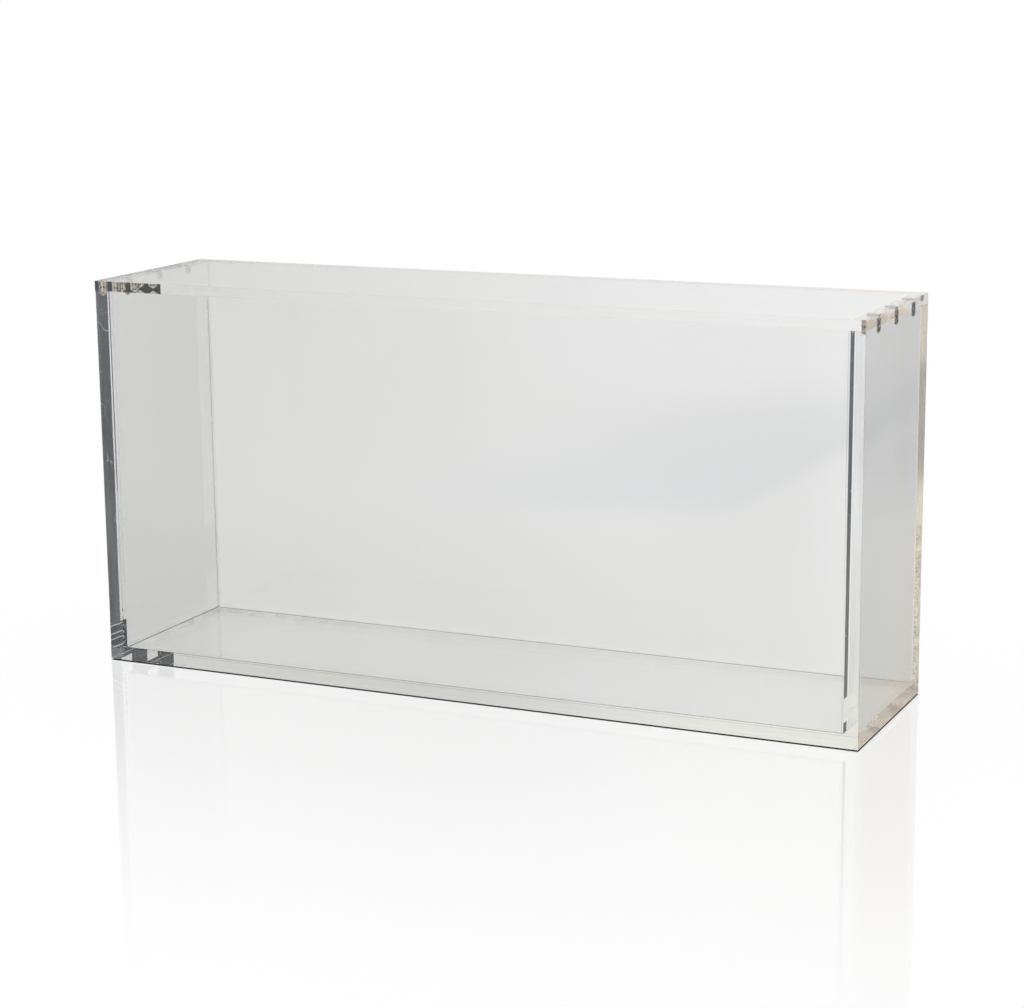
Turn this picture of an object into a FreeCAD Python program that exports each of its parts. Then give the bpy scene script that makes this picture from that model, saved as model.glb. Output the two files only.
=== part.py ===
import FreeCAD, Part
import os
import Sketcher

# Clear acrylic storage box with a lift-off lid held by six pairs of magnets.
# Millimetres. X runs along the length, Y from front to back, Z up.
# The origin is the middle of the footprint, on the surface that the box stands on.

SIZES = (
    ("box_length", "400"),
    ("box_depth", "100"),
    ("box_height", "196"),
    ("bottom_thickness", "6"),
    ("end_thickness", "8"),
    ("wall_thickness", "5"),
    ("lid_thickness", "5"),
    ("edge_ease", "0.4"),
    ("magnet_diameter", "5"),
    ("magnet_length", "3"),
    ("magnet_ease", "0.15"),
    ("magnet_pitch", "28"),
    ("magnet_clearance", "0.05"),
    ("magnet_recess", "0.05"),
    ("drill_angle", "118"),
)

# Lengths that follow from the sizes
RIM_HEIGHT = "(sizes.box_height - sizes.bottom_thickness - sizes.lid_thickness)"
LID_LEVEL = "(sizes.box_height - sizes.lid_thickness)"
INNER_LENGTH = "(sizes.box_length - 2 * sizes.end_thickness)"
END_CENTRE = "((sizes.box_length - sizes.end_thickness) / 2)"
WALL_CENTRE = "((sizes.box_depth - sizes.wall_thickness) / 2)"
HOLE_DIAMETER = "(sizes.magnet_diameter + 2 * sizes.magnet_clearance)"

# A magnet's eased rim sits on the drill point, a little below the straight part of its hole
SEAT_DEPTH = "((sizes.magnet_clearance + sizes.magnet_ease) / tan(sizes.drill_angle / 2))"
HOLE_DEPTH = f"(sizes.magnet_recess + sizes.magnet_length - {SEAT_DEPTH})"

SIDES = (("left", "-1"), ("right", "1"))
PLACES = (("front", "-1"), ("middle", "0"), ("back", "1"))

NEAR = 1e-6


def add_sizes(doc):
    """Put the driving dimensions in a spreadsheet, one named cell each."""
    sheet = doc.addObject("Spreadsheet::Sheet", "sizes")
    for row, (alias, value) in enumerate(SIZES, start=1):
        sheet.set(f"A{row}", alias)
        sheet.set(f"B{row}", value)
        sheet.setAlias(f"B{row}", alias)
    doc.recompute()
    return sheet


def add_body(doc, label, x="0", y="0", z="0"):
    """Start a piece and bind its place to the sizes."""
    body = doc.addObject("PartDesign::Body", label)
    body.Label = label
    for axis, place in (("x", x), ("y", y), ("z", z)):
        body.setExpression(f"Placement.Base.{axis}", place)
    return body


def add_sketch(body, name, level="0"):
    """Add a sketch that lies level in its body, at a height above the body's base."""
    sketch = body.newObject("Sketcher::SketchObject", name)
    base = next(plane for plane in body.Origin.OriginFeatures if plane.Role == "XY_Plane")
    sketch.AttachmentSupport = [(base, "")]
    sketch.MapMode = "FlatFace"
    sketch.setExpression("AttachmentOffset.Base.z", level)
    return sketch


def draw_rectangle(sketch, length, width):
    """Draw a rectangle about the sketch's origin."""
    corners = ((-1, -1), (1, -1), (1, 1), (-1, 1))
    points = [FreeCAD.Vector(x, y, 0) for x, y in corners]
    for start, end in zip(points, points[1:] + points[:1]):
        sketch.addGeometry(Part.LineSegment(start, end), False)
    for line in range(4):
        sketch.addConstraint(Sketcher.Constraint("Coincident", line, 2, (line + 1) % 4, 1))
    for line in (0, 2):
        sketch.addConstraint(Sketcher.Constraint("Horizontal", line))
    for line in (1, 3):
        sketch.addConstraint(Sketcher.Constraint("Vertical", line))
    sketch.addConstraint(Sketcher.Constraint("Symmetric", 0, 1, 1, 2, -1, 1))
    for kind, line, size in (("DistanceX", 0, length), ("DistanceY", 1, width)):
        added = sketch.addConstraint(Sketcher.Constraint(kind, line, 1, line, 2, 2.0))
        sketch.setExpression(f"Constraints[{added}]", size)


def add_pad(body, sketch, height):
    """Raise a sketch into a solid."""
    pad = body.newObject("PartDesign::Pad", f"{body.Label}_sheet")
    pad.Profile = sketch
    pad.setExpression("Length", height)
    body.Document.recompute()
    return pad


def ease_edges(body, base, size, wanted):
    """Chamfer those edges of the body's last feature whose middle passes a test."""
    middles = [edge.CenterOfMass for edge in base.Shape.Edges]
    chosen = [f"Edge{number}" for number, middle in enumerate(middles, start=1) if wanted(middle)]
    chamfer = body.newObject("PartDesign::Chamfer", f"{body.Label}_eased_edges")
    chamfer.Base = (base, chosen)
    chamfer.setExpression("Size", size)
    body.Document.recompute()
    return chamfer


def add_sheet(doc, label, length, width, thickness, x="0", y="0", z="0"):
    """Cut one rectangular piece of acrylic sheet, standing on its place."""
    body = add_body(doc, label, x, y, z)
    sketch = add_sketch(body, f"{label}_outline")
    draw_rectangle(sketch, length, width)
    return body, add_pad(body, sketch, thickness)


def drill_magnet_row(body, name, level, row_x, upwards):
    """Drill a row of blind holes with pointed ends, one for each place along the depth."""
    doc = body.Document
    before = body.Shape.Volume
    sketch = add_sketch(body, f"{name}_centre", level)
    sketch.setExpression("AttachmentOffset.Base.x", row_x)
    sketch.addGeometry(Part.Circle(FreeCAD.Vector(0, -1, 0), FreeCAD.Vector(0, 0, 1), 1), False)
    sketch.addConstraint(Sketcher.Constraint("PointOnObject", 0, 3, -2))
    pitch = sketch.addConstraint(Sketcher.Constraint("DistanceY", 0, 3, -1, 1, 1.0))
    sketch.setExpression(f"Constraints[{pitch}]", "sizes.magnet_pitch")
    width = sketch.addConstraint(Sketcher.Constraint("Diameter", 0, 2.0))
    sketch.setExpression(f"Constraints[{width}]", HOLE_DIAMETER)
    doc.recompute()

    hole = body.newObject("PartDesign::Hole", f"{name}_hole")
    hole.Profile = sketch
    hole.ThreadType = "None"
    hole.HoleCutType = "None"
    hole.DepthType = "Dimension"
    hole.DrillPoint = "Angled"
    hole.DrillForDepth = False
    hole.Reversed = upwards
    hole.setExpression("Diameter", HOLE_DIAMETER)
    hole.setExpression("Depth", HOLE_DEPTH)
    hole.setExpression("DrillPointAngle", "sizes.drill_angle")
    doc.recompute()

    row = body.newObject("PartDesign::LinearPattern", f"{name}_row")
    row.Originals = [hole]
    row.Direction = (sketch, ["V_Axis"])
    row.Occurrences = len(PLACES)
    row.setExpression("Length", f"{len(PLACES) - 1} * sizes.magnet_pitch")
    body.Tip = row
    doc.recompute()
    if body.Shape.Volume >= before:
        raise RuntimeError(f"{name} cut nothing")


def build_carcass(doc):
    """Make the five welded panels."""
    bottom, pad = add_sheet(doc, "bottom_panel", "sizes.box_length", "sizes.box_depth", "sizes.bottom_thickness")
    top_level = pad.Shape.BoundBox.ZMax
    ease_edges(bottom, pad, "sizes.edge_ease", lambda middle: middle.z < top_level - NEAR)

    panels = [bottom]
    for side, sign in SIDES:
        panel, pad = add_sheet(
            doc, f"{side}_end_panel", "sizes.end_thickness", "sizes.box_depth", RIM_HEIGHT,
            x=f"{sign} * {END_CENTRE}", z="sizes.bottom_thickness",
        )
        outer_face = float(sign) * pad.Shape.BoundBox.XLength / 2
        centre = pad.Shape.BoundBox.Center
        ease_edges(
            panel, pad, "sizes.edge_ease",
            lambda middle: abs(middle.x - outer_face) < NEAR and abs(middle.z - centre.z) < NEAR,
        )
        drill_magnet_row(panel, f"{side}_rim_magnet", RIM_HEIGHT, "0", upwards=False)
        panels.append(panel)

    for wall, sign in (("front", "-1"), ("back", "1")):
        panel, pad = add_sheet(
            doc, f"{wall}_panel", INNER_LENGTH, "sizes.wall_thickness", RIM_HEIGHT,
            y=f"{sign} * {WALL_CENTRE}", z="sizes.bottom_thickness",
        )
        panels.append(panel)
    return panels


def build_lid(doc):
    """Make the lid, with its edges eased all round and magnet holes in its underside."""
    lid, pad = add_sheet(
        doc, "lid", "sizes.box_length", "sizes.box_depth", "sizes.lid_thickness", z=LID_LEVEL,
    )
    ease_edges(lid, pad, "sizes.edge_ease", lambda middle: True)
    for side, sign in SIDES:
        drill_magnet_row(lid, f"{side}_lid_magnet", "0", f"{sign} * {END_CENTRE}", upwards=True)
    return lid


def add_magnet(doc, label, x, y, z):
    """Make one cylinder magnet with eased rims."""
    body = add_body(doc, label, x, y, z)
    sketch = add_sketch(body, f"{label}_outline")
    sketch.addGeometry(Part.Circle(FreeCAD.Vector(0, 0, 0), FreeCAD.Vector(0, 0, 1), 1), False)
    sketch.addConstraint(Sketcher.Constraint("Coincident", 0, 3, -1, 1))
    width = sketch.addConstraint(Sketcher.Constraint("Diameter", 0, 2.0))
    sketch.setExpression(f"Constraints[{width}]", "sizes.magnet_diameter")
    pad = add_pad(body, sketch, "sizes.magnet_length")
    half_height = pad.Shape.BoundBox.ZLength / 2
    ease_edges(
        body, pad, "sizes.magnet_ease",
        lambda middle: abs(abs(middle.z - half_height) - half_height) < NEAR,
    )
    return body


def build_magnets(doc):
    """Make the magnets in pairs that face each other across the lid's seat."""
    levels = (
        ("lid", f"{LID_LEVEL} + sizes.magnet_recess"),
        ("end", f"{LID_LEVEL} - sizes.magnet_recess - sizes.magnet_length"),
    )
    magnets = []
    for carrier, level in levels:
        for side, side_sign in SIDES:
            for place, place_sign in PLACES:
                magnets.append(add_magnet(
                    doc, f"{carrier}_magnet_{side}_{place}",
                    f"{side_sign} * {END_CENTRE}", f"{place_sign} * sizes.magnet_pitch", level,
                ))
    return magnets


def check(doc, pieces):
    """Stop if any feature failed or any piece is not one sound solid."""
    for item in doc.Objects:
        if "Invalid" in item.State or "Error" in item.State:
            raise RuntimeError(f"{item.Label} failed: {item.State}")
    for piece in pieces:
        shape = piece.Shape
        if shape.isNull() or not shape.isValid() or len(shape.Solids) != 1:
            raise RuntimeError(f"{piece.Label} is not one valid solid")


def main():
    """Build the box and write one file for each piece."""
    doc = FreeCAD.newDocument("acrylic_storage_box")
    add_sizes(doc)
    pieces = build_carcass(doc) + [build_lid(doc)] + build_magnets(doc)
    doc.recompute()
    check(doc, pieces)
    os.makedirs("parts", exist_ok=True)
    for piece in pieces:
        piece.Shape.exportStep(os.path.join("parts", f"{piece.Label}.step"))
        print(f"{piece.Label}: {piece.Shape.Volume:.3f} cubic mm")


main()
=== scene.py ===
"""Clear acrylic storage box with a lift-off lid held by magnet pairs, with its studio and camera."""

import logging
import math
from dataclasses import dataclass
from enum import Enum
from typing import Callable, Iterable, Optional, Union

import bmesh
import bpy
from mathutils import Matrix, Vector


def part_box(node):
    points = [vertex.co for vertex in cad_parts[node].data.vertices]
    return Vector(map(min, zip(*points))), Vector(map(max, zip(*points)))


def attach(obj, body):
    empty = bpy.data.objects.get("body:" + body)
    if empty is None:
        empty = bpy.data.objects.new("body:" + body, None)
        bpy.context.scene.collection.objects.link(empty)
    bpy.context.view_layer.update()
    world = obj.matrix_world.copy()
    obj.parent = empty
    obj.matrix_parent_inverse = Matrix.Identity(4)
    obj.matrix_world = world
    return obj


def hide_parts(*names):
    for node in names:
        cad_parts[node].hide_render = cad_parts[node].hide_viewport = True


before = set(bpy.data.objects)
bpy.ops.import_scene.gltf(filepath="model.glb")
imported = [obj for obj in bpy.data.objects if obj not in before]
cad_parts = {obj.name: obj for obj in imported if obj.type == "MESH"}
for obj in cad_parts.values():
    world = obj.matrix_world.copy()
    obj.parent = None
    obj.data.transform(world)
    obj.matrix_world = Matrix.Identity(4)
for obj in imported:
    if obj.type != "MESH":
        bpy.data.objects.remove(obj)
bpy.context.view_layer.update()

log = logging.getLogger("acrylic_box")

MM = 0.001
ACRYLIC_IOR = 1.49

# Two places are the same if they are closer than this, in metres
NEAR = 1e-6
# How near a corner is to a cut that it lies on, in metres
ON_CUT = 1e-7
# How far a flat face may be off its axis, and off its level in metres
FLAT_NORMAL = 1e-4
FLAT_LEVEL = 1e-5
# How much of its normal a face has along an axis that it leans to
LEANING = 0.3
# The magnets of one end, from the front of the box to its back
PLACES = ("front", "middle", "back")

Colour = tuple[float, float, float, float]
Scale = tuple[float, float, float]
Span = tuple[float, float]
Value = Union[float, "Wire"]
Socket = bpy.types.NodeSocket
Mesh = bmesh.types.BMesh
Face = bmesh.types.BMFace
Edge = bmesh.types.BMEdge
Vert = bmesh.types.BMVert

WHITE: Colour = (1.0, 1.0, 1.0, 1.0)


class Wire:
    """A number that comes out of a node, used in Python arithmetic."""

    def __init__(self, graph: "Graph", socket: Socket) -> None:
        """Keep the node tree and the socket."""
        self.graph = graph
        self.socket = socket

    def _maths(self, operation: str, first: Value, second: Value) -> "Wire":
        """Add a Math node.

        Args:
            operation: The Math node's operation.
            first: Its first value.
            second: Its second value.

        Returns:
            The node's result.
        """
        node = self.graph.add("ShaderNodeMath", {"operation": operation}, {0: first, 1: second})
        return Wire(self.graph, node.outputs[0])

    def __add__(self, other: Value) -> "Wire":
        """Add."""
        return self._maths("ADD", self, other)

    def __radd__(self, other: Value) -> "Wire":
        """Add, with the number on the left."""
        return self._maths("ADD", other, self)

    def __sub__(self, other: Value) -> "Wire":
        """Subtract."""
        return self._maths("SUBTRACT", self, other)

    def __rsub__(self, other: Value) -> "Wire":
        """Subtract from the number on the left."""
        return self._maths("SUBTRACT", other, self)

    def __mul__(self, other: Value) -> "Wire":
        """Multiply."""
        return self._maths("MULTIPLY", self, other)

    def __rmul__(self, other: Value) -> "Wire":
        """Multiply, with the number on the left."""
        return self._maths("MULTIPLY", other, self)

    def __truediv__(self, other: Value) -> "Wire":
        """Divide."""
        return self._maths("DIVIDE", self, other)

    def __gt__(self, other: Value) -> "Wire":
        """Give 1 where this is greater, and 0 elsewhere."""
        return self._maths("GREATER_THAN", self, other)

    def __abs__(self) -> "Wire":
        """Drop the sign."""
        return self._maths("ABSOLUTE", self, 0.0)

    def most(self, other: Value) -> "Wire":
        """Give the greater of two numbers."""
        return self._maths("MAXIMUM", self, other)

    def part(self) -> "Wire":
        """Drop the whole number."""
        return self._maths("FRACT", self, 0.0)

    def bearing(self, ahead: "Wire") -> "Wire":
        """Give the angle of the point that lies this far to the right and so far ahead."""
        return self._maths("ARCTAN2", self, ahead)

    def height_angle(self) -> "Wire":
        """Give the angle whose sine this is."""
        return self._maths("ARCSINE", self, 0.0)

    def step(self, low: float, high: float, out_low: float = 0.0, out_high: float = 1.0) -> "Wire":
        """Rise smoothly from one value to another.

        Args:
            low: Where the rise starts.
            high: Where it ends.
            out_low: The value before the rise.
            out_high: The value after it.

        Returns:
            The smooth step.
        """
        node = self.graph.add(
            "ShaderNodeMapRange", {"interpolation_type": "SMOOTHSTEP"},
            {"Value": self, "From Min": low, "From Max": high, "To Min": out_low, "To Max": out_high},
        )
        return Wire(self.graph, node.outputs["Result"])

    def fall(self, low: float, high: float) -> "Wire":
        """Fall smoothly from 1 to 0."""
        return self.step(low, high, 1.0, 0.0)


class Graph:
    """A node tree that is filled one node at a time."""

    def __init__(self, tree: bpy.types.NodeTree) -> None:
        """Start with an empty tree."""
        self.tree = tree
        tree.nodes.clear()

    def add(
        self, kind: str, settings: Optional[dict[str, object]] = None,
        sockets: Optional[dict[Union[int, str], object]] = None,
    ) -> bpy.types.Node:
        """Add one node.

        Args:
            kind: The node's type.
            settings: Its own settings, set first.
            sockets: What goes into its inputs: a wire, another node's socket or a plain value.

        Returns:
            The new node.
        """
        node = self.tree.nodes.new(kind)
        for name, value in (settings or {}).items():
            setattr(node, name, value)
        for key, value in (sockets or {}).items():
            if isinstance(value, Wire):
                self.tree.links.new(value.socket, node.inputs[key])
            elif isinstance(value, Socket):
                self.tree.links.new(value, node.inputs[key])
            else:
                node.inputs[key].default_value = value
        return node

    def wire(self, node: bpy.types.Node, output: Union[int, str] = 0) -> Wire:
        """Take one output of a node as a number."""
        return Wire(self, node.outputs[output])

    def place(self) -> Socket:
        """Give the place on the piece, in metres in the box's own frame."""
        return self.add("ShaderNodeTexCoord").outputs["Object"]

    def stretched(self, scale: Scale) -> Socket:
        """Give the place on the piece with each axis scaled."""
        return self.add("ShaderNodeMapping", None, {"Vector": self.place(), "Scale": scale}).outputs["Vector"]

    def noise(self, scale: Scale, detail: float = 2.0, rough: float = 0.5) -> Wire:
        """Make a cloudy pattern.

        Args:
            scale: How many clouds there are in a metre along each axis.
            detail: How many finer layers are added.
            rough: How strong the finer layers are.

        Returns:
            The pattern, about 0.5 on average.
        """
        node = self.add(
            "ShaderNodeTexNoise", None,
            {"Vector": self.stretched(scale), "Scale": 1.0, "Detail": detail, "Roughness": rough},
        )
        return self.wire(node, 0)

    def specks(self, scale: float, size: float) -> Wire:
        """Scatter small round specks.

        Args:
            scale: How many cells there are in a metre.
            size: The specks' radius as a share of a cell.

        Returns:
            1 in a speck and 0 elsewhere.
        """
        node = self.add("ShaderNodeTexVoronoi", None, {"Vector": self.place(), "Scale": scale})
        return self.wire(node, "Distance").fall(size * 0.6, size)

    def blend(self, factor: Wire, first: object, second: object) -> Socket:
        """Mix two colours.

        Args:
            factor: The second colour's share.
            first: A colour, or the socket that gives it.
            second: The other colour.

        Returns:
            The mixed colour.
        """
        node = self.add("ShaderNodeMix", {"data_type": "RGBA"}, {0: factor, 6: first, 7: second})
        return node.outputs[2]

    def bump(self, height: Wire, distance: float, strength: float = 1.0) -> Socket:
        """Turn a height pattern into a normal.

        Args:
            height: The pattern.
            distance: How high 1 stands, in metres.
            strength: The share of the effect that is used.

        Returns:
            The normal.
        """
        node = self.add(
            "ShaderNodeBump", None, {"Height": height, "Distance": distance, "Strength": strength},
        )
        return node.outputs["Normal"]

    def axes(self, vector: Socket) -> tuple[Wire, Wire, Wire]:
        """Take a vector apart into X, Y and Z."""
        parts = self.add("ShaderNodeSeparateXYZ", None, {0: vector})
        return self.wire(parts, "X"), self.wire(parts, "Y"), self.wire(parts, "Z")

    def mix(self, share: Wire, first: Socket, second: Socket) -> Socket:
        """Mix two shaders by the second one's share."""
        return self.add("ShaderNodeMixShader", None, {0: share, 1: first, 2: second}).outputs[0]

    def surface(self, values: dict[str, object]) -> Socket:
        """Make a surface from the values of a Principled shader."""
        return self.add("ShaderNodeBsdfPrincipled", None, values).outputs[0]

    def acrylic(self, tint: object, rough: Value) -> Socket:
        """Make clear acrylic."""
        values = {"Base Color": tint, "Roughness": rough, "IOR": ACRYLIC_IOR, "Transmission Weight": 1.0}
        return self.surface(values)

    def nothing(self) -> Socket:
        """Make a surface that isn't seen."""
        return self.add("ShaderNodeBsdfTransparent", None, {"Color": WHITE}).outputs[0]

    def finish(self, shader: Socket) -> None:
        """Send a shader to the material's output."""
        self.add("ShaderNodeOutputMaterial", None, {"Surface": shader})


class Finish:
    """A named material, made once."""

    name = "finish"

    def __init__(self) -> None:
        """Make the material and fill its nodes."""
        self.material = bpy.data.materials.new(self.name)
        self.material.use_nodes = True
        graph = Graph(self.material.node_tree)
        graph.finish(self.shade(graph))

    def shade(self, graph: Graph) -> Socket:
        """Give the shader of the finish."""
        raise NotImplementedError


class SheetFinish(Finish):
    """The broad polished faces of the cast sheet."""

    name = "acrylic_sheet"
    clouds: Scale = (9.0, 9.0, 9.0)
    wiping: Scale = (40.0, 40.0, 160.0)
    dark: Colour = (0.906, 0.909, 0.907, 1.0)
    light: Colour = (0.922, 0.925, 0.924, 1.0)
    wiped_rough: float = 0.003

    def shade(self, graph: Graph) -> Socket:
        """Make clear sheet with a very faint haze where it was wiped.

        Args:
            graph: The material's node tree.

        Returns:
            The shader.
        """
        cloud = graph.noise(self.clouds, detail=3.0)
        wiped = graph.noise(self.wiping, detail=4.0, rough=0.6)
        tint = graph.blend(cloud.step(0.3, 0.7), self.dark, self.light)
        return graph.acrylic(tint, wiped.step(0.55, 0.75, 0.0, self.wiped_rough))


class EdgeFinish(Finish):
    """The sawn and polished narrow edges, with the marks of the polishing wheel along them."""

    name = "acrylic_edge"
    marks: Scale = (1100.0, 1100.0, 1100.0)
    dark: Colour = (0.89, 0.89, 0.88, 1.0)
    light: Colour = (0.93, 0.93, 0.92, 1.0)
    streak_rough: float = 0.004

    def shade(self, graph: Graph) -> Socket:
        """Make clear edge with fine streaks.

        Args:
            graph: The material's node tree.

        Returns:
            The shader.
        """
        streaks = graph.noise(self.marks, detail=3.0, rough=0.6)
        tint = graph.blend(streaks.step(0.3, 0.7), self.dark, self.light)
        return graph.acrylic(tint, streaks.step(0.4, 0.7, 0.0, self.streak_rough))


class LevelEdgeFinish(EdgeFinish):
    """The edges of the lid and the rim of the box."""

    name = "acrylic_level_edge"
    marks = (22.0, 22.0, 1100.0)


class RubbedEdgeFinish(EdgeFinish):
    """An edge that handling has rubbed to a thin haze."""

    name = "acrylic_rubbed_edge"
    rubbing: Scale = (520.0, 520.0, 520.0)
    least: float = 0.02
    most: float = 0.15
    smears: Scale = (45.0, 45.0, 28.0)
    nick_cells: float = 300.0
    nick_size: float = 0.11
    nick_groups: Scale = (90.0, 90.0, 50.0)
    scratches: Scale = (70.0, 70.0, 45.0)
    wear: Scale = (24.0, 24.0, 24.0)
    worn_to: Span = (-50.0 * MM, 50.0 * MM)
    front: Span = (-49.0 * MM, -48.0 * MM)
    haze_tint: Colour = (0.76, 0.82, 0.85, 1.0)

    def haze(self, graph: Graph) -> Wire:
        """Give the haze's share: rubbing marks, with a few nicks, and scratches left of the middle.

        Args:
            graph: The material's node tree.

        Returns:
            The share.
        """
        rubbed = graph.noise(self.rubbing, detail=4.0, rough=0.65).step(0.3, 0.72, self.least, self.most)
        smears = graph.noise(self.smears, detail=3.0).step(0.42, 0.68, 0.75, 1.15)
        groups = graph.noise(self.nick_groups).step(0.52, 0.62, 0.0, 0.35)
        nicks = graph.specks(self.nick_cells, self.nick_size) * groups
        lines = abs(graph.noise(self.scratches, detail=1.0) - 0.5).step(0.0, 0.007, 0.3, 0.0)
        across = graph.axes(graph.place())[0]
        worn = graph.noise(self.wear).step(0.5, 0.58) * across.fall(*self.worn_to)
        return rubbed * smears + nicks + lines * worn

    def shade(self, graph: Graph) -> Socket:
        """Lay a thin haze over the clear edge."""
        haze = graph.surface({"Base Color": self.haze_tint, "Roughness": 0.5, "IOR": ACRYLIC_IOR})
        return graph.mix(self.haze(graph), super().shade(graph), haze)


class FootEdgeFinish(RubbedEdgeFinish):
    """The edges of the bottom panel."""

    name = "acrylic_foot_edge"
    marks = (22.0, 22.0, 1100.0)
    rubbing = (40.0, 40.0, 800.0)
    most = 0.07
    corner: Span = (-193.0 * MM, -191.0 * MM)
    corner_painted_reflection: float = 0.13

    def haze(self, graph: Graph) -> Wire:
        """Give the haze's share, with more at the left front corner, where the extra haze is a painted
        reflection.

        Args:
            graph: The material's node tree.

        Returns:
            The share.
        """
        across, back, _ = graph.axes(graph.place())
        corner = across.fall(*self.corner) * back.fall(*self.front)
        # The extra haze at the left front corner is a painted reflection
        return super().haze(graph) + corner * self.corner_painted_reflection


class UprightEdgeFinish(RubbedEdgeFinish):
    """The edges of the end panels, which stand up."""

    name = "acrylic_upright_edge"
    marks = (700.0, 700.0, 16.0)
    dark = (0.80, 0.802, 0.797, 1.0)
    light = (0.90, 0.902, 0.897, 1.0)
    rubbing = (520.0, 520.0, 10.0)
    corner: Span = (-190.0 * MM, -180.0 * MM)
    outer: float = -200.0 * MM
    # Where the painted reflection lines lie at the left foot: how high they reach, how far apart and how
    # steep they run
    reflection_lines_to: float = 17.6 * MM
    reflection_lines_fade: float = 0.4 * MM
    reflection_lines_apart: float = 7.1 * MM
    reflection_lines_slope: float = 0.43
    reflection_lines_at: Span = (5.4 * MM, 9.7 * MM)
    foot_haze_cut: float = 0.6

    def haze(self, graph: Graph) -> Wire:
        """Give the haze's share, less at the left foot, where pale diagonal lines of painted reflection cross
        the edge.

        Args:
            graph: The material's node tree.

        Returns:
            The share.
        """
        across, back, up = graph.axes(graph.place())
        corner = across.fall(*self.corner) * back.fall(*self.front)
        # Painted reflection: pale diagonal lines across the left foot of the edge, with less haze there
        level = up - (across - self.outer) * self.reflection_lines_slope
        foot = corner * level.fall(self.reflection_lines_to, self.reflection_lines_to + self.reflection_lines_fade)
        first, second = (abs(((level - at) / self.reflection_lines_apart).part() - 0.5) for at in self.reflection_lines_at)
        runs = first.most(second).step(0.44, 0.475, 0.0, 0.5)
        return super().haze(graph) * (1.0 - foot * self.foot_haze_cut) + foot * runs


class WeldFinish(Finish):
    """The inside of a solvent weld, where two panels have become one."""

    name = "solvent_weld"
    patches: Scale = (60.0, 60.0, 60.0)
    cells: float = 420.0
    share: float = 0.2
    bubble_size: float = 0.16
    bubble: Colour = (0.85, 0.86, 0.85, 1.0)

    def shade(self, graph: Graph) -> Socket:
        """Show nothing but a few fine bubbles.

        Args:
            graph: The material's node tree.

        Returns:
            The shader.
        """
        patches = graph.noise(self.patches).step(0.5, 0.65, 0.0, self.share)
        bubbles = graph.specks(self.cells, self.bubble_size) * patches
        haze = graph.surface({"Base Color": self.bubble, "Roughness": 0.3, "IOR": ACRYLIC_IOR})
        return graph.mix(bubbles, graph.nothing(), haze)


class SeamFinish(Finish):
    """The thin dark line where a weld comes to the surface."""

    name = "weld_seam"
    dark: Colour = (0.015, 0.016, 0.017, 1.0)
    light: Colour = (0.10, 0.105, 0.11, 1.0)
    sound: Colour = (0.60, 0.63, 0.65, 1.0)
    clear: Colour = (0.914, 0.917, 0.915, 1.0)
    runs: Scale = (45.0, 45.0, 45.0)
    ticks: Scale = (5.0, 5.0, 620.0)
    sound_below: float = 95.0 * MM
    sound_fade: float = 10.0 * MM
    torn_below: float = 27.0 * MM
    torn_fade: float = 1.0 * MM
    front: Span = (-47.0 * MM, -46.0 * MM)
    back: Span = (-10.0 * MM, 10.0 * MM)

    def shade(self, graph: Graph) -> Socket:
        """Make a line that varies along the joint, pale low on the front corners and torn at their feet.

        Args:
            graph: The material's node tree.

        Returns:
            The shader, which at the back of the box is clear from inside the sheet.
        """
        runs = graph.noise(self.runs, detail=4.0, rough=0.6)
        _, back, up = graph.axes(graph.place())
        low = up.fall(self.sound_below - self.sound_fade, self.sound_below)
        torn = up.step(self.torn_below, self.torn_below + self.torn_fade)
        ticks = graph.noise(self.ticks).step(0.5, 0.56)
        tint = graph.blend(runs.step(0.42, 0.62), self.dark, self.light)
        line = graph.surface({
            "Base Color": graph.blend(low * back.fall(*self.front) * torn.most(ticks), tint, self.sound),
            "Roughness": runs.step(0.3, 0.7, 0.4, 0.6), "Specular IOR Level": 0.0,
        })
        inside = graph.wire(graph.add("ShaderNodeNewGeometry"), "Backfacing")
        return graph.mix(inside * back.step(*self.back), line, graph.acrylic(self.clear, 0.0))


class FootSeamFinish(SeamFinish):
    """The paler line where the long walls stand on the bottom panel."""

    name = "weld_foot_seam"
    dark = (0.06, 0.062, 0.06, 1.0)
    light = (0.22, 0.22, 0.21, 1.0)
    sound_below = -20.0 * MM


class GlueFinish(WeldFinish):
    """The clear glue that fills the narrow gap round a magnet."""

    name = "magnet_glue"
    cells = 900.0
    share = 0.3


class FrostFinish(Finish):
    """Acrylic left as the drill cut it, at the pointed ends of the holes."""

    name = "acrylic_frost"
    marks: Scale = (1500.0, 1500.0, 5200.0)
    mark_depth: float = 0.03 * MM
    cut: Colour = (0.98, 0.97, 0.94, 1.0)
    glue_from: Span = (-100.0 * MM, 100.0 * MM)
    right_glue: float = 0.72

    def shade(self, graph: Graph) -> Socket:
        """Make a frosted surface with fine cutting marks, more of it filled with glue at the right end.

        Args:
            graph: The material's node tree.

        Returns:
            The shader.
        """
        marks = graph.noise(self.marks, detail=3.0)
        across = graph.axes(graph.place())[0]
        glue = marks.step(0.35, 0.65, 0.0, 0.1) + across.step(*self.glue_from, 0.0, self.right_glue)
        cut = graph.surface({
            "Base Color": self.cut, "Roughness": marks.step(0.3, 0.7, 0.35, 0.6), "IOR": ACRYLIC_IOR,
            "Normal": graph.bump(marks, self.mark_depth, 0.5),
        })
        return graph.mix(glue, cut, graph.nothing())


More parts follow.
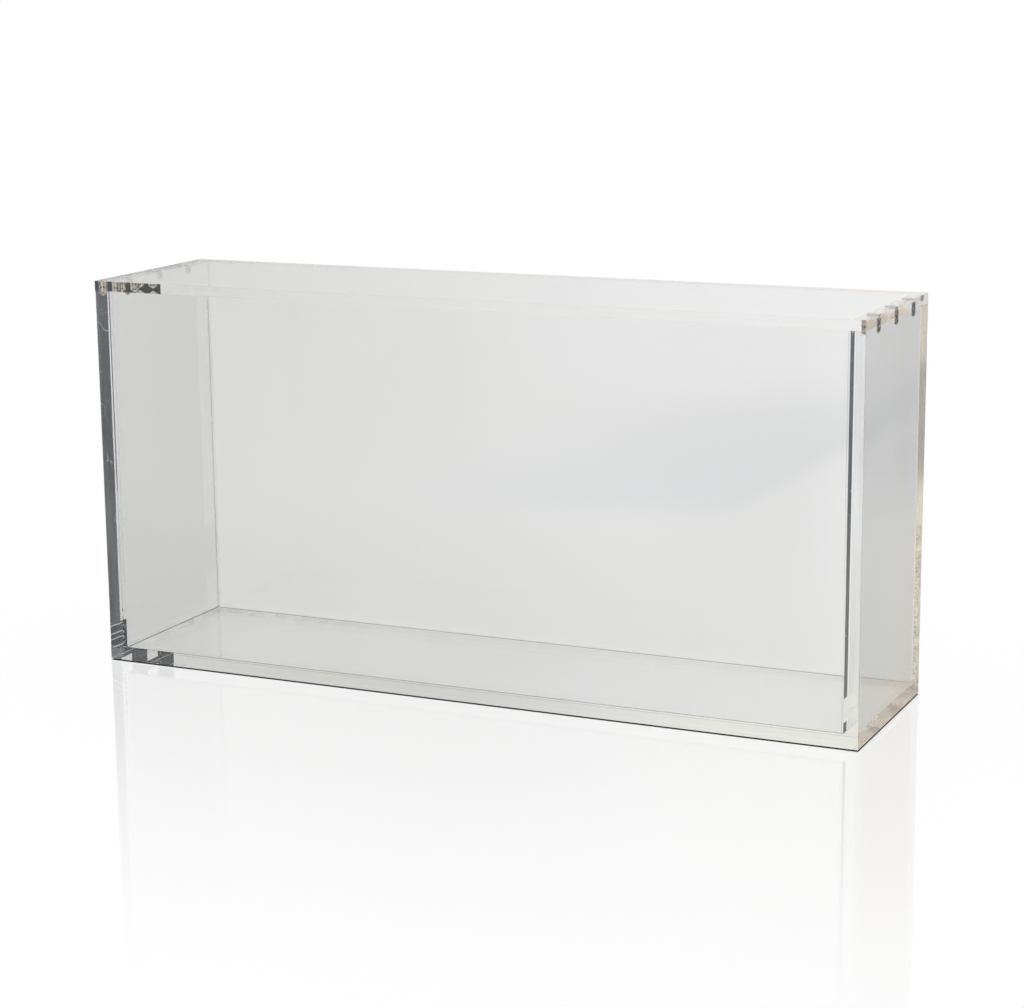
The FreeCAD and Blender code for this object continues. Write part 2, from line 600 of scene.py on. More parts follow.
class SawnFinish(Finish):
    """The white sawn arris along the foot of an end panel."""

    name = "acrylic_sawn"
    marks: Scale = (900.0, 900.0, 900.0)
    dark: Colour = (0.72, 0.74, 0.74, 1.0)
    light: Colour = (0.95, 0.95, 0.94, 1.0)

    def shade(self, graph: Graph) -> Socket:
        """Make a dull white with fine saw marks.

        Args:
            graph: The material's node tree.

        Returns:
            The shader.
        """
        marks = graph.noise(self.marks, detail=3.0)
        tint = graph.blend(marks.step(0.35, 0.65), self.dark, self.light)
        return graph.surface({
            "Base Color": tint, "Roughness": marks.step(0.3, 0.7, 0.5, 0.7), "IOR": ACRYLIC_IOR,
        })


class NickelFinish(Finish):
    """Bright nickel plating on the magnets."""

    name = "magnet_nickel"
    dark: Colour = (0.50, 0.45, 0.40, 1.0)
    light: Colour = (0.80, 0.73, 0.655, 1.0)
    marks: Scale = (900.0, 900.0, 900.0)
    mark_depth: float = 0.01 * MM
    stains: Scale = (1500.0, 1500.0, 90.0)

    def shade(self, graph: Graph) -> Socket:
        """Make plating with fine tumbling marks and dull stains of glue.

        Args:
            graph: The material's node tree.

        Returns:
            The shader.
        """
        marks = graph.noise(self.marks, detail=4.0, rough=0.65)
        stain = graph.noise(self.stains, detail=3.0)
        return graph.surface({
            "Base Color": self.tint(graph, stain), "Metallic": 1.0,
            "Roughness": marks.step(0.35, 0.65, 0.20, 0.32),
            "Normal": graph.bump(marks, self.mark_depth, 0.4),
        })

    def tint(self, graph: Graph, stain: Wire) -> Socket:
        """Give the colour of the plating."""
        return graph.blend(stain.step(0.36, 0.6), self.dark, self.light)


class DarkSidedNickelFinish(NickelFinish):
    """Plating on the magnets at the right end, with a painted dark reflection on the side that faces out,
    broken up by stains.
    """

    name = "magnet_dull_nickel"
    painted_dark_reflection: Colour = (0.08, 0.076, 0.07, 1.0)
    stains = (800.0, 800.0, 700.0)
    axis: float = 196.0 * MM
    turned: Span = (-0.2 * MM, 1.0 * MM)
    top: float = 193.95 * MM
    top_fade: float = 0.05 * MM

    def tint(self, graph: Graph, stain: Wire) -> Socket:
        """Give the colour of the plating, with the painted dark reflection on its outer side.

        Args:
            graph: The material's node tree.
            stain: The pattern of the stains.

        Returns:
            The colour.
        """
        across, _, up = graph.axes(graph.place())
        outward = (across - self.axis).step(*self.turned) * up.fall(self.top, self.top + self.top_fade)
        # Painted dark reflection on the outward side of the magnet, broken up by the stains
        share = outward * stain.step(0.5, 0.66, 1.0, 0.15)
        return graph.blend(share, super().tint(graph, stain), self.painted_dark_reflection)


class Side(Enum):
    """The two ends of the box, as the sign of X."""

    LEFT = -1
    RIGHT = 1


class Wall(Enum):
    """The two long walls, as the sign of Y."""

    FRONT = -1
    BACK = 1


class Surface(Enum):
    """What a face of a piece is, as its material slot on the piece."""

    SHEET = 0
    EDGE = 1
    RIM = 2
    WELD = 3
    SEAM = 4
    FOOT_SEAM = 5
    GLUE = 6
    FROST = 7
    SAWN = 8


@dataclass(frozen=True)
class Finishes:
    """The materials that the pieces share."""

    sheet: SheetFinish
    level_edge: LevelEdgeFinish
    foot_edge: FootEdgeFinish
    upright_edge: UprightEdgeFinish
    weld: WeldFinish
    seam: SeamFinish
    foot_seam: FootSeamFinish
    glue: GlueFinish
    frost: FrostFinish
    sawn: SawnFinish
    nickel: NickelFinish
    dark_sided_nickel: DarkSidedNickelFinish

    def acrylic(self, edge: EdgeFinish) -> list[bpy.types.Material]:
        """List the acrylic materials of a panel in the order of Surface.

        Args:
            edge: The finish of its edges.

        Returns:
            The materials.
        """
        finishes = (
            self.sheet, edge, self.level_edge, self.weld, self.seam, self.foot_seam, self.glue, self.frost,
            self.sawn,
        )
        return [finish.material for finish in finishes]


def face_is(face: Face, axis: int, level: float) -> bool:
    """Tell whether a face lies flat at one level of an axis.

    Args:
        face: The face.
        axis: 0, 1 or 2 for X, Y or Z.
        level: The level along that axis.

    Returns:
        True if it does.
    """
    flat = abs(abs(face.normal[axis]) - 1.0) < FLAT_NORMAL
    return flat and abs(face.calc_center_median()[axis] - level) < FLAT_LEVEL


def faces_at(mesh: Mesh, axis: int, level: float) -> list[Face]:
    """List the faces that lie flat at one level of an axis."""
    return [face for face in mesh.faces if face_is(face, axis, level)]


def dress(mesh: Mesh, rule: Callable[[Face], Surface]) -> None:
    """Give each face that isn't drilled its finish.

    Args:
        mesh: The mesh.
        rule: What a face is.
    """
    for face in mesh.faces:
        if face.material_index < Surface.GLUE.value:
            face.material_index = rule(face).value


def start_block(low: Vector, high: Vector) -> Mesh:
    """Start a mesh as a block between two corners.

    Args:
        low: The lowest corner.
        high: The highest corner.

    Returns:
        The new mesh.
    """
    block = bmesh.new()
    size = high - low
    place = Matrix.Translation((low + high) / 2) @ Matrix.Diagonal((size.x, size.y, size.z, 1.0))
    bmesh.ops.create_cube(block, size=1.0, matrix=place)
    return block


def ease(mesh: Mesh, size: float, wanted: Callable[[Vector], bool], segments: int = 2) -> None:
    """Round over the edges whose middle passes a test.

    Args:
        mesh: The mesh.
        size: How far the rounding reaches from the edge.
        wanted: The test of an edge's middle.
        segments: How many faces the rounding has.
    """
    edges = [edge for edge in mesh.edges if wanted((edge.verts[0].co + edge.verts[1].co) / 2)]
    bmesh.ops.bevel(
        mesh, geom=edges, offset=size, offset_type="OFFSET", affect="EDGES", segments=segments, profile=0.5,
        material=-1, clamp_overlap=True,
    )


def split(mesh: Mesh, faces: Iterable[Face], axis: int, level: float) -> None:
    """Cut some faces along a level of an axis.

    Args:
        mesh: The mesh.
        faces: The faces to cut.
        axis: 0, 1 or 2 for X, Y or Z.
        level: Where the cut lies.
    """
    normal = [0.0, 0.0, 0.0]
    normal[axis] = 1.0
    chosen = list(faces)
    geometry = set(chosen)
    for face in chosen:
        geometry.update(face.edges)
        geometry.update(face.verts)
    bmesh.ops.bisect_plane(
        mesh, geom=list(geometry), dist=ON_CUT, plane_co=[level * n for n in normal], plane_no=normal,
    )


@dataclass(frozen=True)
class Drill:
    """A pointed drill that makes the magnet holes."""

    radius: float = 2.55 * MM
    straight: float = 2.93 * MM
    point_angle: float = math.radians(118.0)
    segments: int = 48
    margin: float = 0.5 * MM

    def bore(self, mesh: Mesh, mouth: Vector, way: float) -> None:
        """Drill one blind hole into a level face.

        Args:
            mesh: The mesh.
            mouth: The middle of the hole's mouth.
            way: 1 to drill upwards, and -1 to drill downwards.
        """
        half = self.radius + self.margin
        for axis in (0, 1):
            for sign in (-1.0, 1.0):
                split(mesh, faces_at(mesh, 2, mouth.z), axis, mouth[axis] + sign * half)
        target = min(
            faces_at(mesh, 2, mouth.z), key=lambda face: (face.calc_center_median() - mouth).length,
        )
        rim = list(target.edges)
        bmesh.ops.delete(mesh, geom=[target], context="FACES_ONLY")
        ring = bmesh.ops.create_circle(
            mesh, cap_ends=False, segments=self.segments, radius=self.radius,
            matrix=Matrix.Translation(mouth),
        )["verts"]
        circle = list(dict.fromkeys(edge for vert in ring for edge in vert.link_edges))
        bmesh.ops.triangle_fill(mesh, edges=rim + circle, use_beauty=True, normal=(0.0, 0.0, 1.0))
        bottom = self._sink(mesh, circle, way * self.straight, Surface.GLUE)
        depth = self.straight + self.radius / math.tan(self.point_angle / 2)
        apex = mouth + Vector((0.0, 0.0, way * depth))
        tip = self._sink(mesh, bottom, 0.0, Surface.FROST)
        bmesh.ops.pointmerge(mesh, verts=list({v for e in tip for v in e.verts}), merge_co=apex)
        for edge in circle + bottom:
            edge.smooth = False

    def _sink(
        self, mesh: Mesh, edges: list[Edge], depth: float, surface: Surface,
    ) -> list[Edge]:
        """Extrude a ring of edges along Z.

        Args:
            mesh: The mesh.
            edges: The ring.
            depth: How far it goes.
            surface: What the new faces are.

        Returns:
            The new ring.
        """
        made = bmesh.ops.extrude_edge_only(mesh, edges=edges)["geom"]
        for face in (g for g in made if isinstance(g, Face)):
            face.smooth = True
            face.material_index = surface.value
        points = [g for g in made if isinstance(g, Vert)]
        bmesh.ops.translate(mesh, verts=points, vec=(0.0, 0.0, depth))
        return [g for g in made if isinstance(g, Edge) and set(g.verts) <= set(points)]


def make_piece(
    mesh: Mesh, name: str, node: str, body: str, materials: list[bpy.types.Material],
) -> None:
    """Turn a mesh into a piece of the object.

    Args:
        mesh: The mesh, freed here.
        name: The piece's name.
        node: The CAD node that it stands for.
        body: The CAD body that carries it.
        materials: Its materials, in the order of the faces' material numbers.
    """
    bmesh.ops.remove_doubles(mesh, verts=mesh.verts[:], dist=NEAR)
    bmesh.ops.recalc_face_normals(mesh, faces=mesh.faces[:])
    data = bpy.data.meshes.new(name)
    mesh.to_mesh(data)
    mesh.free()
    for material in materials:
        data.materials.append(material)
    piece = bpy.data.objects.new(name, data)
    bpy.context.scene.collection.objects.link(piece)
    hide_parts(node)
    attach(piece, body)
    log.info("%s: %d faces, on %s", name, len(data.polygons), body)


@dataclass
class Carcass:
    """The five welded panels."""

    finishes: Finishes
    drill: Drill
    edge_ease: float = 0.12 * MM
    left_edge_ease: float = 0.35 * MM
    left_growth: float = 0.2 * MM
    outer_wide: float = 0.22 * MM
    inner_wide: float = 0.35 * MM
    fine_seam: float = 0.03 * MM
    foot_ease: float = 0.05 * MM
    outer_foot: float = 0.35 * MM
    left_foot: float = 0.28 * MM
    right_foot: float = 0.08 * MM
    wall_foot: float = 0.18 * MM
    rim_gap: float = 0.02 * MM
    seam_reach: float = 1.0 * MM

    def build(self) -> None:
        """Make all five panels."""
        self.build_bottom()
        for side in Side:
            self.build_end(side)
        for wall in Wall:
            self.build_wall(wall)

    def outer_seam(self, wall: Wall, side: Side) -> float:
        """Give the width of the upright seam outside one corner."""
        return self.outer_wide if (wall, side) == (Wall.FRONT, Side.LEFT) else self.fine_seam

    def inner_seam(self, wall: Wall, side: Side) -> float:
        """Give the width of the upright seam inside one corner."""
        return self.inner_wide if (wall, side) == (Wall.BACK, Side.LEFT) else self.fine_seam

    def inner_end(self, side: Side) -> float:
        """Give the place along X of an end panel's inner face, which at the left is a little thick."""
        low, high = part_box(f"{side.name.lower()}_end_panel")
        return high.x + self.left_growth if side is Side.LEFT else low.x

    def keep(self, mesh: Mesh, node: str, edge: EdgeFinish) -> None:
        """Finish one panel as a piece that stands for its node."""
        make_piece(mesh, f"{node}_piece", node, "box", self.finishes.acrylic(edge))

    def build_bottom(self) -> None:
        """Make the bottom panel, with its weld faces where the walls stand."""
        low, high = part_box("bottom_panel")
        left = self.inner_end(Side.LEFT)
        right = self.inner_end(Side.RIGHT)
        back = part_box("back_panel")[0].y
        mesh = start_block(low, high)
        ease(mesh, self.edge_ease, lambda m: m.z < high.z - NEAR, segments=3)
        ease(mesh, self.foot_ease, lambda m: abs(m.z - high.z) < NEAR, segments=1)
        for axis, level in ((0, left), (0, right), (1, -back), (1, back)):
            split(mesh, faces_at(mesh, 2, high.z), axis, level)

        def rule(face: Face) -> Surface:
            """Tell what a face of the bottom panel is.

            Args:
                face: The face.

            Returns:
                Its surface.
            """
            middle = face.calc_center_median()
            if face_is(face, 2, high.z):
                inside = left < middle.x < right and abs(middle.y) < back
                return Surface.SHEET if inside else Surface.WELD
            if face.normal.z > LEANING:
                return Surface.FOOT_SEAM
            return Surface.SHEET if face_is(face, 2, low.z) else Surface.EDGE

        dress(mesh, rule)
        self.keep(mesh, "bottom_panel", self.finishes.foot_edge)

    def build_end(self, side: Side) -> None:
        """Make one end panel, drilled in its top edge.

        Args:
            side: Which end.
        """
        node = f"{side.name.lower()}_end_panel"
        low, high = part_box(node)
        high.z -= self.rim_gap
        inner = self.inner_end(side)
        if side is Side.LEFT:
            outer, high.x = low.x, inner
        else:
            outer = high.x
        inner_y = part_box("back_panel")[0].y
        mesh = start_block(low, high)
        middle_z = (low.z + high.z) / 2
        round_over = self.left_edge_ease if side is Side.LEFT else self.edge_ease
        ease(mesh, round_over, lambda m: abs(m.x - outer) < NEAR and abs(m.z - middle_z) < NEAR, segments=3)
        for wall in Wall:
            corner = Vector((inner, high.y * wall.value, middle_z))
            ease(mesh, self.outer_seam(wall, side), lambda m: (m - corner).length < NEAR, segments=1)
        if side is Side.LEFT:
            ease(
                mesh, self.outer_foot,
                lambda m: abs(m.x - outer) < NEAR and abs(m.z - low.z) < NEAR, segments=1,
            )
        for wall in Wall:
            weld = wall.value * (inner_y + self.inner_seam(wall, side))
            split(mesh, faces_at(mesh, 0, inner), 1, weld)
        bead = low.z + (self.left_foot if side is Side.LEFT else self.right_foot)
        split(mesh, faces_at(mesh, 0, inner), 2, bead)
        for place in PLACES:
            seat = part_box(f"end_magnet_{side.name.lower()}_{place}")
            centre = (seat[0] + seat[1]) / 2
            self.drill.bore(mesh, Vector((centre.x, centre.y, high.z)), -1.0)

        def rule(face: Face) -> Surface:
            """Tell what a face of the end panel is.

            Args:
                face: The face.

            Returns:
                Its surface.
            """
            middle = face.calc_center_median()
            if face_is(face, 2, low.z):
                return Surface.WELD
            if face_is(face, 0, inner):
                if abs(middle.y) > inner_y:
                    return Surface.WELD
                return Surface.SEAM if middle.z < bead else Surface.SHEET
            if face_is(face, 2, high.z):
                return Surface.RIM
            if face.normal.z < -LEANING:
                return Surface.SAWN
            if abs(face.normal.x) > LEANING and abs(middle.x - inner) < self.seam_reach:
                return Surface.SEAM
            return Surface.SHEET if face_is(face, 0, outer) else Surface.EDGE

        dress(mesh, rule)
        self.keep(mesh, node, self.finishes.upright_edge)

    def build_wall(self, wall: Wall) -> None:
        """Make one long wall.

        Args:
            wall: Which wall.
        """
        node = f"{wall.name.lower()}_panel"
        low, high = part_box(node)
        high.z -= self.rim_gap
        low.x = self.inner_end(Side.LEFT)
        outer, inner = (low.y, high.y) if wall is Wall.FRONT else (high.y, low.y)
        mesh = start_block(low, high)
        middle_z = (low.z + high.z) / 2
        for side in Side:
            end = low.x if side is Side.LEFT else high.x
            for level, size in ((outer, self.outer_seam(wall, side)), (inner, self.inner_seam(wall, side))):
                corner = Vector((end, level, middle_z))
                ease(mesh, size, lambda m: (m - corner).length < NEAR, segments=1)
        ease(mesh, self.foot_ease, lambda m: abs(m.y - outer) < NEAR and abs(m.z - low.z) < NEAR, segments=1)
        bead = low.z + self.wall_foot
        split(mesh, faces_at(mesh, 1, inner), 2, bead)

        def rule(face: Face) -> Surface:
            """Tell what a face of the wall is.

            Args:
                face: The face.

            Returns:
                Its surface.
            """
            if face_is(face, 2, low.z) or face_is(face, 0, low.x) or face_is(face, 0, high.x):
                return Surface.WELD
            if face_is(face, 1, inner):
                return Surface.FOOT_SEAM if face.calc_center_median().z < bead else Surface.SHEET
            if face_is(face, 1, outer):
                return Surface.SHEET
            if face_is(face, 2, high.z):
                return Surface.RIM
            return Surface.FOOT_SEAM if face.normal.z < -LEANING else Surface.SEAM

        dress(mesh, rule)
        self.keep(mesh, node, self.finishes.upright_edge)


@dataclass
class Lid:
    """The loose plate, with its magnet holes underneath."""

    finishes: Finishes
    drill: Drill
    edge_ease: float = 0.02 * MM
    far_ease: float = 0.3 * MM
    rim_gap: float = 0.02 * MM

    def build(self) -> None:
        """Make the lid, with the top edges at its back and left worn rounder than the others."""
        low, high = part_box("lid")
        low.z += self.rim_gap
        mesh = start_block(low, high)

        def far(middle: Vector) -> bool:
            """Tell whether an edge is the top edge at the back or the left."""
            return middle.z > high.z - NEAR and (middle.y > high.y - NEAR or middle.x < low.x + NEAR)

        ease(mesh, self.edge_ease, lambda m: not far(m), segments=3)
        ease(mesh, self.far_ease, far, segments=4)
        for side in Side:
            for place in PLACES:
                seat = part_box(f"lid_magnet_{side.name.lower()}_{place}")
                centre = (seat[0] + seat[1]) / 2
                self.drill.bore(mesh, Vector((centre.x, centre.y, low.z)), 1.0)

        def rule(face: Face) -> Surface:
            """Tell what a face of the lid is."""
            flat = face_is(face, 2, low.z) or face_is(face, 2, high.z)
            return Surface.SHEET if flat else Surface.EDGE

        dress(mesh, rule)
        materials = self.finishes.acrylic(self.finishes.level_edge)
        make_piece(mesh, "lid_piece", "lid", "lid", materials)


@dataclass
class Magnets:
    """The six pairs of cylinder magnets."""

    finishes: Finishes
    rim: float = 0.06 * MM
    segments: int = 48
    flat_above: float = 0.99

    def build(self) -> None:
        """Make every magnet."""
        for carrier, body in (("lid", "lid"), ("end", "box")):
            for side in Side:
                for place in PLACES:
                    self.build_one(f"{carrier}_magnet_{side.name.lower()}_{place}", body)

    def build_one(self, node: str, body: str) -> None:
        """Turn one magnet from its half outline.

        Args:
            node: The CAD node that it stands for.
            body: The CAD body that carries it.
        """
        low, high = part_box(node)
        centre = (low + high) / 2
        radius = (high.x - low.x) / 2
        half = (high.z - low.z) / 2
        mesh = bmesh.new()
        outline = (
            (0.0, -half), (radius - self.rim, -half), (radius, self.rim - half), (radius, half - self.rim),
            (radius - self.rim, half), (0.0, half),
        )
        points = [mesh.verts.new(centre + Vector((x, 0.0, z))) for x, z in outline]
        edges = [mesh.edges.new(pair) for pair in zip(points, points[1:])]
        bmesh.ops.spin(
            mesh, geom=points + edges, cent=centre, axis=(0.0, 0.0, 1.0), angle=2.0 * math.pi,
            steps=self.segments, use_merge=True,
        )
        mesh.normal_update()
        for face in mesh.faces:
            face.smooth = abs(face.normal.z) < self.flat_above
        # The right-end magnets take the nickel with a painted dark reflection on their outward side
        finish = self.finishes.dark_sided_nickel if centre.x > 0.0 else self.finishes.nickel
        make_piece(mesh, f"{node}_piece", node, body, [finish.material])


@dataclass(frozen=True)
class Surroundings:
    """What stands round the box: a white sweep behind, a dark flag to the right and a pale room in front.

    Bearings and heights are in degrees. The narrow bands were placed by trial, so that the edges of the box
    show the photograph's tones from the photograph's view.
    """

    plain: Colour = (0.70, 0.71, 0.74, 1.0)
    sweep: Colour = (0.93, 0.93, 0.93, 1.0)
    sweep_shade: Colour = (0.68, 0.68, 0.675, 1.0)
    sweep_low: Colour = (0.69, 0.685, 0.665, 1.0)
    sweep_dim: Colour = (0.68, 0.68, 0.675, 1.0)
    sweep_floor: Colour = (0.89, 0.895, 0.845, 1.0)
    sweep_foot: Colour = (0.59, 0.485, 0.38, 1.0)
    sweep_end: Colour = (1.0, 0.92, 0.72, 1.0)
    sweep_dusk: Colour = (0.42, 0.365, 0.295, 1.0)
    room: Colour = (0.82, 0.81, 0.79, 1.0)
    warm_wall: Colour = (1.0, 0.90, 0.77, 1.0)
    warm: Colour = (0.80, 0.695, 0.565, 1.0)
    warm_floor: Colour = (0.63, 0.515, 0.395, 1.0)
    flag: Colour = (0.03, 0.033, 0.035, 1.0)
    flag_edge: Colour = (0.038, 0.058, 0.073, 1.0)
    flag_gloss: Colour = (0.405, 0.40, 0.40, 1.0)
    flag_dim: Colour = (0.335, 0.335, 0.34, 1.0)
    flag_foot: Colour = (0.062, 0.063, 0.062, 1.0)
    gloss_foot: Colour = (0.60, 0.56, 0.50, 1.0)
    sweep_from: Span = (-110.0, -75.0)
    flag_from: Span = (6.0, 12.0)
    flag_to: Span = (85.0, 105.0)
    flag_top: Span = (20.0, 35.0)
    flag_bottom: Span = (-35.0, -22.0)
    flag_inner: Span = (20.0, 28.0)
    floor_line: Span = (-12.9, -11.7)
    ceiling: Span = (25.0, 45.0)
    dim_above: Span = (1.0, 4.0)
    dim_to: Span = (-42.0, -8.0)
    dim_rise: Span = (0.1464, 0.1470)
    gloss_from: Span = (-12.8, -11.8)
    gloss_to: Span = (-11.2, -9.8)
    gloss_low: Span = (-16.4, -15.8)
    end_from: Span = (-15.97, -15.87)
    end_to: Span = (-13.0, -8.0)
    foot_from: Span = (-16.64, -16.56)
    foot_slope: float = 1.02
    warm_from: Span = (-165.7, -165.2)
    warm_to: Span = (-163.2, -162.7)

    def shade(self, graph: Graph) -> Socket:
        """Give the colour that lies in each direction.

        Args:
            graph: The world's node tree.

        Returns:
            The colour.
        """
        across, ahead, up = graph.axes(graph.add("ShaderNodeTexCoord").outputs["Generated"])
        bearing = across.bearing(ahead) * math.degrees(1.0)
        height = up.height_angle() * math.degrees(1.0)
        rays = graph.add("ShaderNodeLightPath")
        mirrored = graph.wire(rays, "Glossy Depth") > 0.5
        through = graph.wire(rays, "Transmission Depth") > 0.5
        to_sweep = bearing.step(*self.sweep_from) * bearing.fall(*self.flag_from)
        to_flag = bearing.step(*self.flag_from) * bearing.fall(*self.flag_to)
        to_flag = to_flag * height.fall(*self.flag_top) * height.step(*self.flag_bottom)
        dim = height.step(*self.dim_above) * bearing.step(*self.dim_to, 1.0, 0.1)
        dim = dim * (up / ahead).fall(*self.dim_rise)

        behind = self.behind(graph, bearing, height, dim)
        inside = graph.blend(to_sweep, self.front(graph, bearing, height), behind)
        inside = graph.blend(to_flag, inside, self.side(graph, bearing, height))
        inside = graph.blend(height.step(*self.ceiling), inside, WHITE)

        outside = graph.blend(height.step(-3, 1), self.plain, WHITE)
        outside = graph.blend(to_sweep, outside, graph.blend(dim, WHITE, self.sweep_dim))
        band = height.step(*self.gloss_from) * height.fall(*self.gloss_to)
        gloss = graph.blend(band, self.flag_gloss, self.flag_dim)
        gloss = graph.blend(height.step(*self.gloss_low), self.gloss_foot, gloss)
        outside = graph.blend(to_flag * height.fall(-4, -1), outside, gloss)
        colour = graph.blend(through, outside, inside)
        colour = graph.blend(mirrored, WHITE, colour)
        return graph.blend(graph.wire(rays, "Is Camera Ray"), colour, WHITE)

    def behind(self, graph: Graph, bearing: Wire, height: Wire, dim: Wire) -> Socket:
        """Give the sweep as it shows in the acrylic.

        Args:
            graph: The world's node tree.
            bearing: The direction's bearing.
            height: Its height.
            dim: Where the sweep is dim.

        Returns:
            The colour.
        """
        slope = abs(height)
        sweep = graph.blend(bearing.step(-40, -16), self.sweep_shade, self.sweep)
        sweep = graph.blend(slope.step(12.5, 14.5) * bearing.step(-24, -20), sweep, self.sweep_floor)
        steep = slope.step(10, 13.5) * slope.fall(19, 25)
        sweep = graph.blend(steep * bearing.fall(-27, -19), sweep, self.sweep_low)
        sweep = graph.blend(dim, sweep, self.sweep_dim)
        nearer = bearing.fall(*self.end_to)
        tilted = height.fall(-8.6, -7.4) + height.step(8.8, 9.6)
        sweep = graph.blend(bearing.step(*self.end_from) * nearer * tilted, sweep, self.end(graph, height))
        foot = (slope + bearing * self.foot_slope).step(0.40, 0.50) * bearing.step(*self.foot_from) * nearer
        return graph.blend(foot, sweep, self.sweep_foot)

    def end(self, graph: Graph, height: Wire) -> Socket:
        """Give the right end of the sweep, and of the room, darker towards the middle height."""
        return graph.blend(abs(height).step(11.0, 12.0), self.sweep_dusk, self.sweep_end)

    def front(self, graph: Graph, bearing: Wire, height: Wire) -> Socket:
        """Give the room as it shows in the acrylic and the magnets.

        Args:
            graph: The world's node tree.
            bearing: The direction's bearing.
            height: Its height.

        Returns:
            The colour.
        """
        warm = graph.blend(height.step(-3, 3), self.warm, self.warm_wall)
        warm = graph.blend(abs(height).step(8.7, 9.1), warm, self.end(graph, height))
        warm = graph.blend(abs(height).step(15.6, 16.2), warm, self.warm_floor)
        return graph.blend(bearing.step(*self.warm_from) * bearing.fall(*self.warm_to), self.room, warm)

    def side(self, graph: Graph, bearing: Wire, height: Wire) -> Socket:
        """Give the dark flag as it shows in the acrylic and the magnets.

        Args:
            graph: The world's node tree.
            bearing: The direction's bearing.
            height: Its height.

        Returns:
            The colour.
        """
        near = graph.blend(height.fall(*self.floor_line), self.flag_edge, self.flag_foot)
        near = graph.blend(height.step(-2, 2), near, self.flag)
        return graph.blend(bearing.step(*self.flag_inner), near, self.flag)


@dataclass(frozen=True)
class Floor:
    """A white sheet that mirrors the box faintly close by.

    Its light grows along two directions that are fixed on the floor, and a painted contact shadow runs round
    the box's foot.
    """

    level: float = -0.7 * MM
    size: float = 30.0
    left_shade: Colour = (0.84, 0.845, 0.82, 1.0)
    under_shade: Colour = (0.87, 0.87, 0.835, 1.0)
    far_shade: Colour = (0.865, 0.87, 0.882, 1.0)
    # Colour of the painted contact shadow round the box's foot
    contact_shadow: Colour = (0.02, 0.02, 0.02, 1.0)
    broad_way: Span = (0.906, 0.423)
    narrow_way: Span = (0.955, 0.297)
    far_slope: float = 0.336
    gloss_rough: float = 0.05
    mirror_share: float = 0.26
    mirror_reach: float = 0.38

    def build(self) -> None:
        """Lay the floor."""
        mesh = bmesh.new()
        bmesh.ops.create_grid(
            mesh, x_segments=1, y_segments=1, size=self.size / 2,
            matrix=Matrix.Translation((0.0, 0.0, self.level)),
        )
        data = bpy.data.meshes.new("floor")
        mesh.to_mesh(data)
        mesh.free()
        data.materials.append(self.dress())
        floor = bpy.data.objects.new("floor", data)
        bpy.context.scene.collection.objects.link(floor)

    def tone(self, graph: Graph, away: Wire, seen: Wire) -> Socket:
        """Give the floor's colour, white to the eye and a little shaded where it shows through the box.

        Args:
            graph: The material's node tree.
            away: How far a place is from the box's foot.
            seen: 1 where the camera looks straight at the floor.

        Returns:
            The colour.
        """
        across, back, _ = graph.axes(graph.place())
        broad = across * self.broad_way[0] + back * self.broad_way[1]
        narrow = across * self.narrow_way[0] + back * self.narrow_way[1]
        lit = broad.step(-0.28, 0.07, 0.0, 0.55) + narrow.step(0.132, 0.194, 0.0, 0.45)
        line = back - across * self.far_slope
        lit = lit + line.step(0.7, 1.05, 0.0, 0.35) * broad.step(-0.08, 0.21)
        behind = graph.blend(lit, self.left_shade, WHITE)
        under = graph.blend(across.step(-0.26, -0.12), self.under_shade, WHITE)
        colour = graph.blend(away.step(-0.01, 0.05), under, behind)
        far = line.step(0.36, 0.48) * line.fall(0.55, 1.1)
        far = far * across.step(-0.32, -0.08) * across.fall(-0.035, -0.005)
        colour = graph.blend(far, colour, self.far_shade)
        return graph.blend(seen, colour, WHITE)

    def dress(self) -> bpy.types.Material:
        """Make the floor's material.

        Returns:
            The material.
        """
        material = bpy.data.materials.new("white_floor")
        material.use_nodes = True
        graph = Graph(material.node_tree)
        across, back, _ = graph.axes(graph.place())
        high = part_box("bottom_panel")[1]
        away = (abs(across) - high.x).most(abs(back) - high.y)
        rays = graph.add("ShaderNodeLightPath")
        seen = graph.wire(rays, "Is Camera Ray")
        # Painted contact shadow: a dark band round the foot of the box, mostly for the camera, and kept off
        # the mirror
        dark = away.step(-3.6 * MM, -3.0 * MM) * away.fall(-0.2 * MM, 0.5 * MM) * (seen * 0.85 + 0.15)
        tone = graph.blend(dark, self.tone(graph, away, seen), self.contact_shadow)
        paper = graph.add("ShaderNodeBsdfDiffuse", None, {"Color": tone}).outputs[0]
        glow = graph.add("ShaderNodeEmission", None, {"Color": tone, "Strength": 1.0}).outputs[0]
        gloss = graph.add("ShaderNodeBsdfGlossy", None, {"Color": WHITE, "Roughness": self.gloss_rough})
        base = graph.mix(away.step(0.0, 0.3, 0.91, 1.0), paper, glow)
        mirror = away.step(0.0, self.mirror_reach, self.mirror_share, 0.0)
        mirror = mirror * away.step(-0.03, -0.005, 0.5, 1.0) * (1.0 - dark)
        whole = graph.mix(mirror, base, gloss.outputs[0])
        mirrored = graph.wire(rays, "Glossy Depth") > 0.5
        graph.finish(graph.mix(mirrored, whole, graph.nothing()))
        return material


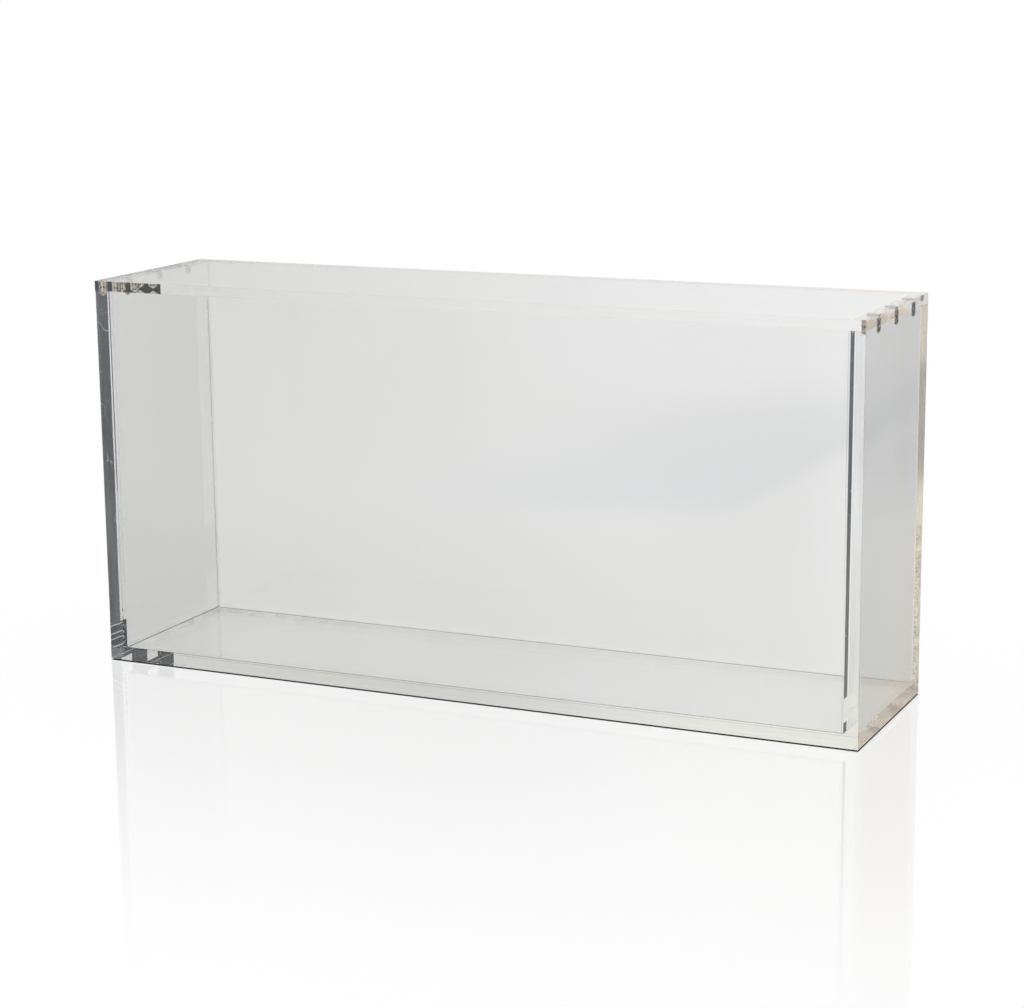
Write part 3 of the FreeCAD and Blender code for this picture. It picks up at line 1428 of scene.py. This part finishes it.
@dataclass
class Studio:
    """A white floor, the light round it and the camera."""

    surroundings: Surroundings
    floor: Floor
    camera_place: tuple[float, float, float] = (0.51498, -1.10479, 0.35068)
    camera_bearing: float = 0.43177
    camera_tilt: float = 0.21243
    camera_roll: float = -0.00991
    focal_pixels: float = 2518.87
    image_width: float = 1024.0
    sensor_width: float = 36.0
    clip: Span = (0.05, 100.0)
    all_bounces: int = 96
    clear_bounces: int = 80
    unseen_bounces: int = 64

    def build(self) -> None:
        """Make the studio."""
        scene = bpy.context.scene
        scene.view_settings.view_transform = "Standard"
        scene.cycles.max_bounces = self.all_bounces
        scene.cycles.glossy_bounces = self.clear_bounces
        scene.cycles.transmission_bounces = self.clear_bounces
        scene.cycles.transparent_max_bounces = self.unseen_bounces
        self.build_world(scene)
        self.floor.build()
        self.build_camera(scene)

    def build_world(self, scene: bpy.types.Scene) -> None:
        """Light the box with an even white, and let edges and metal mirror the surroundings.

        Args:
            scene: The scene.
        """
        world = bpy.data.worlds.new("studio")
        scene.world = world
        world.use_nodes = True
        graph = Graph(world.node_tree)
        light = graph.add(
            "ShaderNodeBackground", None, {"Color": self.surroundings.shade(graph), "Strength": 1.0},
        )
        graph.add("ShaderNodeOutputWorld", None, {"Surface": light.outputs[0]})

    def build_camera(self, scene: bpy.types.Scene) -> None:
        """Set the camera where the photograph was taken from.

        Args:
            scene: The scene.
        """
        data = bpy.data.cameras.new("camera")
        data.sensor_width = self.sensor_width
        data.sensor_fit = "HORIZONTAL"
        data.lens = self.focal_pixels / self.image_width * self.sensor_width
        data.clip_start, data.clip_end = self.clip
        camera = bpy.data.objects.new("camera", data)
        scene.collection.objects.link(camera)
        turn = (
            Matrix.Rotation(self.camera_bearing, 4, "Z")
            @ Matrix.Rotation(math.pi / 2 - self.camera_tilt, 4, "X")
            @ Matrix.Rotation(self.camera_roll, 4, "Z")
        )
        camera.matrix_world = Matrix.Translation(self.camera_place) @ turn
        scene.camera = camera


def main() -> None:
    """Build the box, piece by piece, and the studio round it."""
    logging.basicConfig(level=logging.INFO, format="%(name)s: %(message)s")
    finishes = Finishes(
        SheetFinish(), LevelEdgeFinish(), FootEdgeFinish(), UprightEdgeFinish(), WeldFinish(), SeamFinish(),
        FootSeamFinish(), GlueFinish(), FrostFinish(), SawnFinish(), NickelFinish(), DarkSidedNickelFinish(),
    )
    drill = Drill()
    Carcass(finishes, drill).build()
    Lid(finishes, drill).build()
    Magnets(finishes).build()
    Studio(Surroundings(), Floor()).build()


if __name__ == "__main__":
    main()
